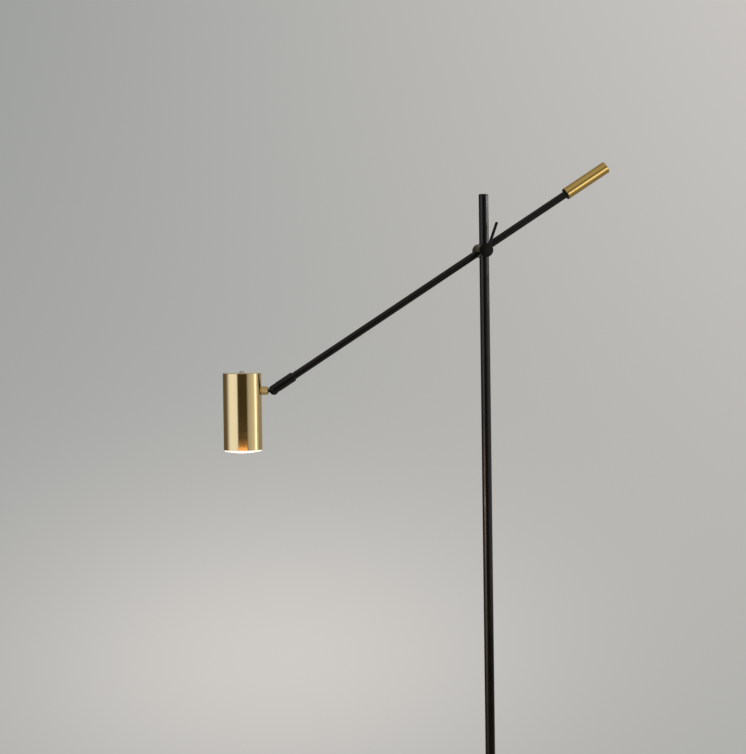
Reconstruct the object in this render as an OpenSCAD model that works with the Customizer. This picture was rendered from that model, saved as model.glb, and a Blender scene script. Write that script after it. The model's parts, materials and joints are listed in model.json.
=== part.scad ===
// Adjustable arm floor lamp: a thin black pole on a weighted round base, a rod
// arm clamped across the pole by a lever-locked hub, a brass counterweight at
// one end of the arm and a brass cylinder head on a knuckle joint at the other.
// Millimetres, +Z up. The origin is the centre of the base's underside, on the
// pole's axis. The arm lies behind the pole (+Y), and the head is on the -X side.

/* [Stand] */
// Height of the top of the pole above the floor
stand_h = 1500; // [1300:10:1700]
// Distance from the top of the pole down to the hub's axis
hub_drop = 73; // [45:1:160]

/* [Base] */
// Diameter of the round base
base_d = 254; // [220:2:320]
// Height of the base over the floor, to the top of its cover
base_h = 24; // [23:0.5:34]
// Radius of the cover's rounded top edge
base_edge = 7; // [3:0.5:7]
// Thickness of the steel cover
cover_t = 1.2; // [0.8:0.1:2]
// Height of the cover's rim above the floor
rim_gap = 1; // [0.5:0.1:1.4]
// Thickness of the soft pad under the base
pad_t = 2; // [1.6:0.1:3]
// Gap between the cast weight and the cover's side wall
weight_gap = 0.5; // [0.3:0.1:1]
// Width of the nut recess under the weight
recess_d = 34; // [28:1:50]
// Width of the cord channel cut across the weight's underside
channel_w = 14; // [13.5:0.5:20]
// Diameter of the trim flange at the foot of the pole
foot_d = 36; // [28:1:60]
// Height of the trim flange
foot_h = 11; // [9:0.5:20]
// Thickness of metal under the pole in the trim flange
foot_floor = 2.5; // [1.5:0.5:5]
// Diameter of the hollow stud that ties the pole to the base
stud_d = 8; // [7:0.5:9]
// Bore of the hollow stud
stud_bore = 5; // [4.6:0.1:5.4]
// Length of the stud inside the pole
stud_grip = 20; // [12:1:40]
// Height of the stud's nut
nut_h = 5.5; // [4:0.5:6]
// Width across the flats of the stud's nut
nut_af = 13; // [12:0.5:15]
// Thickness of the washer over the nut
washer_t = 1.6; // [1:0.1:2]
// Diameter of the washer over the nut
washer_d = 24; // [20:1:27]

/* [Cord inlet] */
// Bore of the grommet that the mains cord goes through
inlet_bore = 6; // [5:0.5:7]
// Diameter of the grommet's flanges
grommet_d = 12; // [11:0.5:13]
// Diameter of the grommet's neck in the cover
grommet_neck = 8.4; // [8:0.2:10]
// Thickness of the grommet's outer flange
grommet_lip = 1.5; // [1:0.1:3]
// Length of the grommet inside the cover
grommet_in = 3; // [2:0.5:6]
// Height of the grommet's axis above the floor
inlet_z = 9; // [8.5:0.5:10]

/* [Pole] */
// Outside diameter of the pole's tubes
pole_d = 12.7; // [12:0.1:13.2]
// Wall of the pole's tubes
pole_wall = 1; // [0.8:0.1:1.2]
// Length of the top section of the pole, cap included
upper_len = 550; // [300:10:700]
// Length of the joiners between the tubes
joiner_len = 60; // [30:5:100]
// Bore of the joiners
joiner_bore = 6.5; // [5:0.5:7.5]
// Edge break on the ends of the tubes
tube_break = 0.35; // [0.1:0.05:0.5]
// Thickness of the cap on the pole
cap_t = 2.5; // [2:0.5:5]
// Depth of the cap's plug in the pole
cap_plug = 9; // [5:1:20]
// Radius of the cap's rounded edge
cap_round = 1; // [0.4:0.1:1.8]

/* [Hub] */
// Diameter of the hub, its knob and its arm block
hub_d = 18.4; // [17.6:0.2:24]
// Wall of the hub in front of the pole
hub_front = 1.5; // [1:0.1:4]
// Wall of the hub behind the pole
hub_back = 2.6; // [2.4:0.1:5]
// Thickness of the steel washer under the knob
knob_washer_t = 0.6; // [0.4:0.1:1.2]
// Thickness of the fibre friction washer behind the hub
fibre_t = 1; // [0.6:0.1:2]
// Thickness of the clamp knob
knob_t = 5.8; // [5.6:0.1:10]
// Depth of the threaded bore in the knob
knob_depth = 4; // [3:0.1:4.4]
// Radius of the knob's slightly domed front
knob_crown = 60; // [40:5:200]
// Chamfer on the knob's and arm block's edges
hub_chamfer = 0.5; // [0.2:0.1:0.9]
// Diameter of the shank that joins the arm block to the knob
shank_d = 8; // [7:0.2:8.4]
// Bore of the shank, for the lead
shank_bore = 4; // [3:0.2:4.6]
// Diameter of the hole in the shank's side, where the lead comes in
lead_hole_d = 3.4; // [3:0.1:3.6]
// Diameter of the clamp lever
lever_d = 3.8; // [3:0.1:4]
// Reach of the lever's end from the hub's axis
lever_reach = 39; // [25:1:60]
// Offset of the lever from the hub's axis
lever_side = 1.6; // [0:0.1:2]
// Lean of the lever from upright, away from the head
lever_lean = 20; // [0:1:60]
// Radius of the circle that the stop pin travels on
stop_r = 6.4; // [6.2:0.1:6.6]
// Diameter of the stop pin
stop_d = 2; // [1.5:0.1:2.2]
// Depth of the stop pin's groove in the hub
stop_depth = 1.4; // [1:0.1:1.6]
// Tilt of the arm above or below level at which it stops
arm_stop = 70; // [45:1:72]
// Diameter of the hub's grub screw
hub_screw_d = 3; // [2.5:0.5:3.5]

/* [Arm] */
// Diameter of the arm's rod tube
arm_d = 9.5; // [8.5:0.1:10]
// Wall of the arm's tube
arm_wall = 1; // [0.8:0.1:1.4]
// Tilt of the arm as stored, head end down
arm_incline = 32.6; // [0:0.1:60]
// Distance from the hub's axis to the knuckle's axis
arm_reach = 328.5; // [240:0.5:420]
// Distance from the hub's axis to the counterweight's outer end
arm_back = 202.5; // [150:0.5:260]
// Metal of the arm block in front of the arm
arm_block_wall = 2.3; // [2.2:0.1:5]
// Metal of the arm block behind the arm
arm_block_back = 8; // [2.2:0.1:12]
// Diameter of the grub screws that hold the arm and the counterweight
grub_d = 4; // [3:0.5:4.5]

/* [Counterweight] */
// Diameter of the counterweight
weight_d = 16; // [15:0.5:19]
// Length of the counterweight
weight_len = 65; // [40:0.5:90]
// Solid end of the counterweight beyond the arm's tube
weight_end = 12; // [5:1:20]
// Radius of the counterweight's rounded ends
weight_round = 0.8; // [0.3:0.1:1.5]
// Diameter of the black ring at the counterweight's inner end
ring_d = 15.4; // [13:0.1:17]
// Thickness of that ring
ring_t = 1.5; // [1:0.1:4]

/* [Knuckle] */
// Diameter of the knuckle sleeve on the arm
sleeve_d = 12.7; // [12.3:0.1:14]
// Length of the knuckle sleeve
sleeve_len = 35; // [28:1:60]
// Reach of the sleeve's ears past the pivot
ear_reach = 3.4; // [3.2:0.1:3.8]
// Chamfer on the sleeve's inner end, and how deep the ears' long chamfer is
sleeve_chamfer = 0.8; // [0.2:0.1:0.9]
// Length of the long chamfer on the ears' tips
ear_chamfer = 2.2; // [0.8:0.1:3]
// Drop of the pivot below the arm's centre line, so that the head clears the ears
pivot_drop = 1.1; // [0:0.1:1.4]
// Depth of the sleeve's slot behind the pivot
slot_depth = 7.5; // [6:0.5:9]
// Metal between the slot and the arm's tube
sleeve_web = 3.5; // [2:0.5:8]
// Thickness of the tongue in the sleeve
tongue_t = 5; // [3.2:0.1:5.4]
// Diameter of the tongue's round eye
eye_d = 11.2; // [8:0.2:12]
// Height of the neck between the eye and the swivel flange
neck_h = 3.8; // [3.6:0.1:5.6]
// Diameter of the pivot screw
pivot_d = 3; // [2.4:0.1:3.2]
// Diameter of the pivot screw's head
pivot_head_d = 4.8; // [4.2:0.1:5]
// Height of the pivot screw's head
pivot_head_h = 1.5; // [1:0.1:1.8]
// Distance from the pivot to the swivel flange
flange_at = 7.2; // [7.2:0.1:9]
// Diameter of the swivel flange
flange_d = 9; // [8:0.1:9.6]
// Thickness of the swivel flange
flange_t = 0.9; // [0.6:0.1:2]
// Length of the brass collar between the flange and the head
collar_len = 7.6; // [4:0.1:12]
// Diameter of the brass collar
collar_d = 11.2; // [9:0.1:12]
// Chamfer on the collar's outer end
collar_chamfer = 0.8; // [0.3:0.1:1.2]
// Diameter of the swivel stem
stem_d = 5.8; // [5:0.1:6.2]
// Bore of the swivel stem, for the lead
stem_bore = 2.4; // [1.8:0.1:2.6]
// Thickness of the stop washer on the stem
stop_washer_t = 1; // [0.6:0.1:1.6]
// Thickness of the spring washer on the stem
spring_washer_t = 1.2; // [0.8:0.1:1.6]
// Height of the nut on the stem
swivel_nut_h = 3.2; // [2.4:0.1:4]
// Width across the flats of the nut on the stem
swivel_nut_af = 10; // [9:0.5:11]
// Thickness of the saddle washer inside the head, at its middle
saddle_t = 2.8; // [2.4:0.1:4]
// Diameter of the saddle washer
saddle_d = 14; // [13:0.5:15]
// Angle to each side at which the head's swivel stops
swivel_stop = 170; // [150:1:172]

/* [Head] */
// Diameter of the head
head_d = 50; // [46:1:60]
// Height of the head's brass shell
head_h = 99; // [96:1:130]
// Distance from the top of the head down to the swivel
swivel_drop = 23.5; // [18:1:30]
// Wall of the head's shell
shell_t = 1.2; // [0.8:0.1:2]
// Thickness of the head's top
top_t = 1.5; // [1:0.1:3]
// Radius of the head's rounded top edge
top_round = 1; // [0.4:0.1:1.4]
// Diameter of the top screw
top_screw_d = 4; // [3:0.2:4.4]
// Diameter of the top screw's domed head
dome_d = 7.6; // [6.6:0.2:10]
// Height of the top screw's domed head
dome_h = 2.6; // [2:0.1:3.4]
// Diameter of the spacer tube round the top screw
spacer_d = 8; // [6.6:0.2:9]

/* [Light] */
// Height of the heat sink's fins
fin_h = 22; // [14:1:26]
// Number of fins on the heat sink
fin_count = 18; // [10:1:24]
// Thickness of a fin
fin_t = 1.2; // [0.8:0.1:1.6]
// Diameter of the heat sink's core
core_d = 10.8; // [10:0.2:11.2]
// Height of the core above the fins
core_rise = 1; // [0.5:0.1:2]
// Thickness of the heat sink's floor
sink_floor = 4; // [3:0.5:6]
// Depth of the reflector, from the board to the diffuser
reflector_h = 22; // [16:1:26]
// Wall of the reflector
reflector_t = 0.8; // [0.6:0.1:1.2]
// Diameter of the light board
board_d = 38; // [32:1:42]
// Thickness of the light board
board_t = 1.6; // [1:0.1:2.5]
// Diameter of the light emitter
emitter_d = 14; // [8:1:16]
// Thickness of the light emitter
emitter_t = 1; // [0.6:0.1:1.6]
// Distance of the board's screws from the middle
board_screw_r = 15; // [14:0.5:15.5]
// Diameter of the board's screws
board_screw_d = 3; // [2:0.5:3]
// How far the diffuser's edge stands below the head's rim
diffuser_proud = 1.9; // [1:0.1:4]
// How far the diffuser's face bulges in the middle
diffuser_crown = 2; // [0.5:0.1:4]
// Depth of the diffuser's skirt inside the head
skirt_h = 5; // [4:0.5:8]
// Thickness of the diffuser's skirt
skirt_t = 2.4; // [2:0.1:3]
// Radius of the diffuser's rounded edge
diffuser_round = 0.9; // [0.3:0.1:1]
// Thickness of the ring that grips the diffuser
o_ring_d = 1.4; // [1:0.1:1.6]

/* [Wiring] */
// Diameter of the leads inside the tubes
lead_d = 2.6; // [2:0.1:2.8]
// Bend radius of the leads
lead_bend = 7; // [6:0.5:7]
// Length of the driver in the base
driver_l = 60; // [40:1:70]
// Width of the driver
driver_w = 28; // [20:1:36]
// Height of the driver
driver_h = 13; // [10:0.5:14]
// Distance from the cover's rim to the driver's outer end
driver_back = 31; // [29:1:34]

/* [Fits] */
// Radial clearance of the turning fits
run_fit = 0.05; // [0.02:0.01:0.1]
// Radial clearance of the parts that are fixed in each other
snug_fit = 0.05; // [0.02:0.01:0.1]
// Gap between flat faces that slide on each other
face_gap = 0.1; // [0.05:0.01:0.15]
// Gap around parts that pass through without touching
pass_gap = 0.3; // [0.2:0.05:0.4]

/* [Hidden] */
$fn = 64;

// Heights in the base, from the floor up
base_r = base_d / 2;
lead_z = pad_t + lead_d / 2 + 1.2;
stud_z = lead_z + lead_bend * 0.57;
stud_tail = 0.4;
nut_z = stud_z + stud_tail;
washer_z = nut_z + nut_h;
recess_z = washer_z + washer_t;
weight_top = base_h - cover_t;
weight_r = base_r - cover_t - weight_gap;
stud_hole_d = stud_d + 2 * pass_gap;
driver_at = base_d / 2 - driver_back - driver_l;
pocket_h = driver_h + 1;
channel_h = 2 * (inlet_z - pad_t);

// Heights on the pole
pole_z = base_h + foot_floor;
pole_bore = pole_d - 2 * pole_wall;
seam_high = stand_h - upper_len;
seam_low = (pole_z + seam_high) / 2;
hub_z = stand_h - hub_drop;

// Places along the hub's axis, from the front (-Y) to the back (+Y)
pole_seat_r = pole_d / 2 + snug_fit;
hub_y0 = -(pole_seat_r + hub_front);
hub_y1 = pole_seat_r + hub_back;
knob_y1 = hub_y0 - knob_washer_t - 2 * face_gap;
knob_y0 = knob_y1 - knob_t;
lever_y = (knob_y0 + knob_y1) / 2;
shank_y = knob_y1 - knob_depth + pass_gap;
block_y0 = hub_y1 + fibre_t + 2 * face_gap;
arm_y = block_y0 + arm_block_wall + arm_d / 2 + snug_fit;
block_y1 = arm_y + arm_d / 2 + snug_fit + arm_block_back;
stop_y0 = hub_y1 - stop_depth + pass_gap;
stop_y1 = block_y0 + arm_block_wall - 0.4;

// Places along the arm, from the hub's axis
sleeve_x0 = -arm_reach - ear_reach;
sleeve_x1 = sleeve_x0 + sleeve_len;
tube_x0 = -arm_reach + slot_depth + sleeve_web;
tube_x1 = arm_back - weight_end;
weight_x0 = arm_back - weight_len;
arm_bore = arm_d - 2 * arm_wall;

// Places along the swivel's axis, from the pivot towards the head
collar_u = flange_at + flange_t + face_gap;
head_r = head_d / 2;
head_u = collar_u + collar_len + head_r;
shell_r = head_r - shell_t;
saddle_u = head_u - shell_r + saddle_t;
stop_washer_u = saddle_u + face_gap;
spring_washer_u = stop_washer_u + stop_washer_t + face_gap;
swivel_nut_u = spring_washer_u + spring_washer_t + face_gap;
stem_end_u = swivel_nut_u + swivel_nut_h + 1.5;

// Heights in the head, from the swivel's axis
head_top = swivel_drop;
head_rim = head_top - head_h;
skirt_z = head_rim + skirt_h;
board_z = skirt_z + reflector_h + face_gap;
sink_z = board_z + board_t;
fins_z = sink_z + sink_floor;
core_top = fins_z + fin_h + core_rise;
sink_r = shell_r - 2 * pass_gap;
lead_x = core_d / 2 + 2 * pass_gap + lead_d / 2;

// ---- placing -------------------------------------------------------------

// Stand a child made along +Z on the hub's axis, pointing back along +Y
module on_hub(y) {
    translate([0, y, hub_z]) rotate([-90, 0, 0]) children();
}

// The arm's own frame: +X runs along the arm to the counterweight
module in_arm() {
    translate([0, arm_y, hub_z]) rotate([0, -arm_incline, 0]) children();
}

// Lay a child made along +Z on the arm, from x towards the counterweight
module on_arm(x) {
    in_arm() translate([x, 0, 0]) rotate([0, 90, 0]) children();
}

// The knuckle's own frame: the pivot is its origin, and the swivel runs along -X
module at_knuckle() {
    translate([pivot_drop * sin(arm_incline) - arm_reach * cos(arm_incline), arm_y,
               hub_z - arm_reach * sin(arm_incline) - pivot_drop * cos(arm_incline)])
        children();
}

// Lay a child made along +Z on the swivel's axis, u from the pivot
module on_swivel(u) {
    at_knuckle() translate([-u, 0, 0]) rotate([0, -90, 0]) children();
}

// The head's own frame: its axis, at the height of the swivel
module in_head() {
    at_knuckle() translate([-head_u, 0, 0]) children();
}

// ---- shapes that repeat --------------------------------------------------

// A turned disc or rod whose edges are rounded, foot and top
module turned(d, h, foot = 0, top = 0) {
    rotate_extrude() {
        translate([0, foot]) square([d / 2, h - foot - top]);
        if (foot > 0) {
            square([d / 2 - foot, foot]);
            intersection() {
                translate([d / 2 - foot, foot]) circle(foot);
                square([d / 2, foot]);
            }
        }
        if (top > 0) {
            translate([0, h - top]) square([d / 2 - top, top]);
            intersection() {
                translate([d / 2 - top, h - top]) circle(top);
                translate([0, h - top]) square([d / 2, top]);
            }
        }
    }
}

// A turned disc or rod whose edges are chamfered, foot and top
module chamfered(d, h, foot = 0, top = 0) {
    rotate_extrude()
        polygon([[0, 0], [d / 2 - foot, 0], [d / 2, foot], [d / 2, h - top],
                 [d / 2 - top, h], [0, h]]);
}

// A length of tube, its outer edges broken
module tube(d, bore, h, edge = 0) {
    rotate_extrude()
        polygon([[bore / 2, 0], [d / 2 - edge, 0], [d / 2, edge], [d / 2, h - edge],
                 [d / 2 - edge, h], [bore / 2, h]]);
}

// A flat washer
module washer(d, bore, h) {
    difference() {
        cylinder(d = d, h = h);
        translate([0, 0, -1]) cylinder(d = bore, h = h + 2);
    }
}

// A hexagon nut, its bore left plain
module hex_nut(across, bore, h) {
    difference() {
        intersection() {
            cylinder(d = across / cos(30), h = h, $fn = 6);
            chamfered(across / cos(30), h, across * 0.05, across * 0.05);
        }
        translate([0, 0, -1]) cylinder(d = bore, h = h + 2);
    }
}

// A headless screw with a hexagon socket in its top end
module grub(d, h) {
    difference() {
        chamfered(d, h, d * 0.1, d * 0.1);
        translate([0, 0, h * 0.4]) cylinder(d = d * 0.5, h = h, $fn = 6);
    }
}

// The arc that the stop pin sweeps, as a slot of the given depth
module stop_arc(h) {
    slot = stop_d + 2 * pass_gap;
    rotate([0, 0, 180 - arm_stop]) rotate_extrude(angle = 2 * arm_stop)
        translate([stop_r - slot / 2, 0]) square([slot, h]);
    for (side = [-1, 1])
        rotate([0, 0, 180 + side * arm_stop]) translate([stop_r, 0, 0])
            cylinder(d = slot, h = h);
}

// ---- base ----------------------------------------------------------------

// Spun steel cover with a rounded edge
module base_cover() {
    color("#1c1b1a") difference() {
        translate([0, 0, rim_gap]) turned(base_d, base_h - rim_gap, 0, base_edge);
        translate([0, 0, -1])
            turned(base_d - 2 * cover_t, weight_top + 1, 0, base_edge - cover_t);
        cylinder(d = stud_hole_d, h = base_h + 1);
        translate([0, base_r + 1, inlet_z]) rotate([90, 0, 0])
            cylinder(d = grommet_neck + 2 * snug_fit, h = cover_t + 6);
    }
}

// Cast iron weight, hollowed underneath for the nut, the driver and the cord
module base_weight() {
    color("#3a3a3c") difference() {
        translate([0, 0, pad_t])
            turned(2 * weight_r, weight_top - pad_t, 0, base_edge - cover_t);
        cylinder(d = stud_hole_d, h = base_h);
        cylinder(d = recess_d, h = recess_z);
        translate([-channel_w / 2, 0, pad_t - 1]) cube([channel_w, base_r, channel_h + 1]);
        translate([-driver_w / 2 - 1, driver_at - 1, pad_t - 1])
            cube([driver_w + 2, driver_l + 2, pocket_h + 1]);
    }
}

// Soft pad that the lamp stands on
module base_pad() {
    color("#2b2b2b") turned(2 * weight_r - 2, pad_t, 0.5, 0);
}

// Hollow stud from the weight up into the pole
module base_stud() {
    color("#b9b7b0") translate([0, 0, stud_z])
        tube(stud_d, stud_bore, pole_z + stud_grip - stud_z, tube_break);
}

module base_nut() {
    color("#b9b7b0") translate([0, 0, nut_z]) hex_nut(nut_af, stud_d + 2 * snug_fit, nut_h);
}

module base_washer() {
    color("#b9b7b0") translate([0, 0, washer_z])
        washer(washer_d, stud_d + 2 * snug_fit, washer_t);
}

// Turned trim flange that the pole stands in, hollowed to a neck by an arc
module foot_flange() {
    neck_r = pole_d / 2 + 2;
    sweep = min(foot_h - 3, foot_d / 2 - neck_r - 1);
    color("#1c1b1a") translate([0, 0, base_h]) difference() {
        rotate_extrude() difference() {
            union() {
                square([foot_d / 2, foot_h - sweep]);
                square([neck_r + sweep, foot_h]);
            }
            translate([neck_r + sweep, foot_h]) circle(sweep);
        }
        translate([0, 0, foot_floor]) cylinder(d = 2 * pole_seat_r, h = foot_h);
        translate([0, 0, -1]) cylinder(d = stud_hole_d, h = foot_h);
    }
}

// Threaded insert in the foot of the pole
module foot_insert() {
    color("#b9b7b0") translate([0, 0, pole_z])
        tube(pole_bore - 2 * snug_fit, stud_d + 2 * snug_fit, stud_grip + 4, tube_break);
}

// Flanged bush in the cover's back, for the mains cord
module cord_grommet() {
    length = grommet_lip + cover_t + grommet_in;
    color("#151515") difference() {
        translate([0, base_r + grommet_lip, inlet_z]) rotate([90, 0, 0]) difference() {
            turned(grommet_d, length, 0.6, 0);
            translate([0, 0, -1]) cylinder(d = inlet_bore, h = length + 2);
        }
        difference() {
            cylinder(r = base_r + face_gap / 2, h = base_h);
            translate([0, 0, -1]) cylinder(r = base_r - cover_t - face_gap / 2, h = base_h + 2);
            translate([0, base_r + 1, inlet_z]) rotate([90, 0, 0])
                cylinder(d = grommet_neck, h = cover_t + 6);
        }
    }
}

// Driver in its moulded case, with a wire block at each end
module led_driver() {
    step = driver_h / 3;
    color("#e4e2dc") translate([0, driver_at, pad_t]) difference() {
        translate([-driver_w / 2, 0, 0]) cube([driver_w, driver_l, driver_h]);
        for (y = [-1, driver_l - 6])
            translate([-driver_w / 2 - 1, y, driver_h - step])
                cube([driver_w + 2, 7, step + 1]);
    }
}

// ---- pole ----------------------------------------------------------------

module pole_lower() {
    color("#1c1b1a") translate([0, 0, pole_z])
        tube(pole_d, pole_bore, seam_low - pole_z, tube_break);
}

module pole_middle() {
    color("#1c1b1a") translate([0, 0, seam_low])
        tube(pole_d, pole_bore, seam_high - seam_low, tube_break);
}

// Top section, drilled through for the hub's shank
module pole_upper() {
    color("#1c1b1a") difference() {
        translate([0, 0, seam_high]) tube(pole_d, pole_bore, upper_len - cap_t, tube_break);
        on_hub(-pole_d) cylinder(d = shank_d + 2 * pass_gap, h = 2 * pole_d);
    }
}

// The two joiners inside the pole, one at each seam
module pole_joiners() {
    color("#b9b7b0") for (z = [seam_low, seam_high])
        translate([0, 0, z - joiner_len / 2])
            tube(pole_bore - 2 * snug_fit, joiner_bore, joiner_len, tube_break);
}

// Cap with a plug, in the top of the pole
module pole_cap() {
    color("#1c1b1a") {
        translate([0, 0, stand_h - cap_t]) turned(pole_d, cap_t, 0, cap_round);
        translate([0, 0, stand_h - cap_t - cap_plug])
            chamfered(pole_bore - 2 * snug_fit, cap_plug, tube_break, 0);
    }
}

// Lead from the driver, up the stud and the pole to just under the shank
module pole_lead() {
    color("#d8d6cf") {
        translate([0, lead_bend, lead_z]) rotate([-90, 0, 0])
            cylinder(d = lead_d, h = driver_at - lead_bend);
        translate([0, lead_bend, lead_z + lead_bend]) rotate([0, -90, 0]) rotate([0, 0, 180])
            rotate_extrude(angle = 90) translate([lead_bend, 0]) circle(d = lead_d);
        translate([0, 0, lead_z + lead_bend])
            cylinder(d = lead_d, h = hub_z - shank_d / 2 - 1 - lead_z - lead_bend);
    }
}

// ---- hub -----------------------------------------------------------------

// Hub body: bored for the pole and across it for the shank, grooved at the back
module hub_body() {
    color("#1c1b1a") difference() {
        on_hub(hub_y0) cylinder(d = hub_d, h = hub_y1 - hub_y0);
        translate([0, 0, hub_z - hub_d]) cylinder(r = pole_seat_r, h = 2 * hub_d);
        on_hub(hub_y0 - 1) cylinder(d = shank_d + 2 * run_fit, h = hub_y1 - hub_y0 + 2);
        on_hub(hub_y1 - stop_depth) stop_arc(stop_depth + 1);
        translate([0, 0, hub_z]) rotate([0, 90, 0])
            cylinder(d = hub_screw_d + 2 * snug_fit, h = hub_d);
    }
}

// Grub screw in the hub's side, its tip on the pole
module hub_screw() {
    tip = pole_d / 2 + face_gap;
    color("#2a2a2a") translate([tip, 0, hub_z]) rotate([0, 90, 0])
        grub(hub_screw_d, hub_d / 2 - tip - 0.3);
}

// Fibre washer that the arm block turns on, slotted for the stop pin
module fibre_washer() {
    color("#4a3f33") on_hub(hub_y1 + face_gap) difference() {
        washer(hub_d - 0.6, shank_d + 2 * pass_gap, fibre_t);
        translate([0, 0, -1]) stop_arc(fibre_t + 2);
    }
}

module knob_washer() {
    color("#8d8b86") on_hub(hub_y0 - face_gap - knob_washer_t)
        washer(hub_d - 1, shank_d + 2 * pass_gap, knob_washer_t);
}

// Knob that screws on the shank, closed in front and drilled for the lever
module clamp_knob() {
    color("#1c1b1a") difference() {
        on_hub(knob_y0) rotate_extrude() intersection() {
            polygon([[0, 0], [hub_d / 2 - hub_chamfer, 0], [hub_d / 2, 2 * hub_chamfer],
                     [hub_d / 2, knob_t], [0, knob_t]]);
            translate([0, knob_crown]) circle(r = knob_crown, $fn = 360);
        }
        on_hub(knob_y1 - knob_depth) cylinder(d = shank_d + 2 * run_fit, h = knob_depth + 1);
        at_lever(lever_root()) cylinder(d = lever_d + 2 * snug_fit, h = hub_d);
    }
}

// Lever pin with a rounded end, pressed in the knob
module clamp_lever() {
    root = lever_root();
    color("#1c1b1a") at_lever(root + face_gap)
        turned(lever_d, lever_reach - root - face_gap, 0.3, lever_d * 0.3);
}

// Where the lever's hole ends: just clear of the shank
function lever_root() = shank_d / 2 + run_fit + 0.5;

// The lever's own frame: +Z runs out along it
module at_lever(along) {
    translate([0, lever_y, hub_z]) rotate([0, lever_lean, 0])
        translate([lever_side, 0, along]) children();
}

// ---- arm -----------------------------------------------------------------

// Arm block and its hollow shank, in one turned piece
module arm_block() {
    color("#24231f") difference() {
        union() {
            on_hub(block_y0) chamfered(hub_d, block_y1 - block_y0, 0, hub_chamfer);
            on_hub(shank_y) chamfered(shank_d, block_y0 - shank_y + 1, hub_chamfer, 0);
        }
        on_arm(-hub_d) cylinder(d = arm_d + 2 * snug_fit, h = 2 * hub_d);
        on_hub(-pole_d / 4) cylinder(d = shank_bore, h = arm_y + pole_d / 4);
        in_arm() translate([0, -arm_y, -hub_d]) cylinder(d = lead_hole_d, h = hub_d);
        in_arm() translate([-stop_r, stop_y0 - arm_y - 1, 0]) rotate([-90, 0, 0])
            cylinder(d = stop_d + 2 * snug_fit, h = stop_y1 - stop_y0 + 1);
        on_hub(arm_y) cylinder(d = grub_d + 2 * snug_fit, h = hub_d);
    }
}

// Grub screw in the back of the arm block, its tip on the arm
module arm_screw() {
    tip = arm_y + arm_d / 2 + face_gap;
    color("#2a2a2a") on_hub(tip) grub(grub_d, block_y1 - tip - 0.3);
}

// Pin that stops the arm's tilt at the ends of its groove
module stop_pin() {
    color("#b9b7b0") in_arm() translate([-stop_r, stop_y0 - arm_y, 0]) rotate([-90, 0, 0])
        chamfered(stop_d, stop_y1 - stop_y0 - 0.1, 0.2, 0.2);
}

// Rod tube of the arm, holed at the hub for the lead
module arm_tube() {
    color("#1c1b1a") difference() {
        on_arm(tube_x0) tube(arm_d, arm_bore, tube_x1 - tube_x0, tube_break);
        on_hub(block_y0) cylinder(d = shank_bore, h = arm_y - block_y0);
    }
}

// Lead along the arm's tube, from the hub to the knuckle's web
module arm_lead() {
    color("#d8d6cf") in_arm()
        translate([tube_x0 + 2, 0, pass_gap - (arm_bore - lead_d) / 2]) rotate([0, 90, 0])
            cylinder(d = lead_d, h = -tube_x0 - 2 + shank_bore / 2);
}

// Solid brass counterweight, bored for the arm's tube
module counterweight() {
    color("#c9a66b") difference() {
        on_arm(weight_x0) difference() {
            turned(weight_d, weight_len, weight_round, weight_round);
            translate([0, 0, -1])
                cylinder(d = arm_d + 2 * snug_fit, h = weight_len - weight_end + 1);
        }
        at_weight_screw(0) cylinder(d = grub_d + 2 * snug_fit, h = weight_d);
    }
}

// Black ring between the arm and the counterweight's inner end
module weight_ring() {
    color("#151413") on_arm(weight_x0 - ring_t) difference() {
        turned(ring_d, ring_t, ring_t / 3, 0);
        translate([0, 0, -1]) cylinder(d = arm_d + 2 * snug_fit, h = ring_t + 2);
    }
}

// Grub screw in the back of the counterweight
module weight_screw() {
    tip = arm_d / 2 + face_gap;
    color("#8d8b86") at_weight_screw(tip) grub(grub_d, weight_d / 2 - tip - 0.3);
}

module at_weight_screw(y) {
    in_arm() translate([weight_x0 + weight_len / 4, y, 0]) rotate([-90, 0, 0]) children();
}

// ---- knuckle -------------------------------------------------------------

// Sleeve on the arm's end, slotted into two ears that hold the tongue
module knuckle_sleeve() {
    head_seat = sleeve_d / 2 - pivot_head_h - 0.2;
    end_r = sleeve_d / 2 - sleeve_chamfer;
    color("#1c1b1a") difference() {
        on_arm(sleeve_x0) rotate_extrude()
            polygon([[0, 0], [end_r, 0], [sleeve_d / 2, ear_chamfer],
                     [sleeve_d / 2, sleeve_len - sleeve_chamfer], [end_r, sleeve_len],
                     [0, sleeve_len]]);
        on_arm(tube_x0) cylinder(d = arm_d + 2 * snug_fit, h = sleeve_len);
        on_arm(-arm_reach) cylinder(d = arm_bore * 0.6, h = sleeve_len);
        in_arm() translate([sleeve_x0 - 1, -tongue_t / 2 - face_gap, -sleeve_d])
            cube([ear_reach + slot_depth + 1, tongue_t + 2 * face_gap, 2 * sleeve_d]);
        in_arm() translate([-arm_reach, -sleeve_d / 2 + 1.2, -pivot_drop]) rotate([-90, 0, 0])
            cylinder(d = pivot_d + 2 * snug_fit, h = sleeve_d);
        in_arm() translate([-arm_reach, head_seat, -pivot_drop]) rotate([-90, 0, 0])
            cylinder(d = pivot_head_d + 2 * snug_fit, h = sleeve_d);
    }
}

// Screw that is the knuckle's pivot, put in from behind
module pivot_screw() {
    seat = sleeve_d / 2 - pivot_head_h - 0.2 + face_gap / 2;
    tip = -sleeve_d / 2 + 1.4;
    color("#2a2a2a") at_knuckle() rotate([-90, 0, 0]) difference() {
        union() {
            translate([0, 0, tip]) chamfered(pivot_d, seat - tip + 0.5, 0.3, 0);
            translate([0, 0, seat]) turned(pivot_head_d, pivot_head_h, 0, 0.4);
        }
        translate([0, 0, seat + pivot_head_h - 0.9])
            cylinder(d = pivot_d * 0.75, h = 2, $fn = 6);
    }
}

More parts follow.
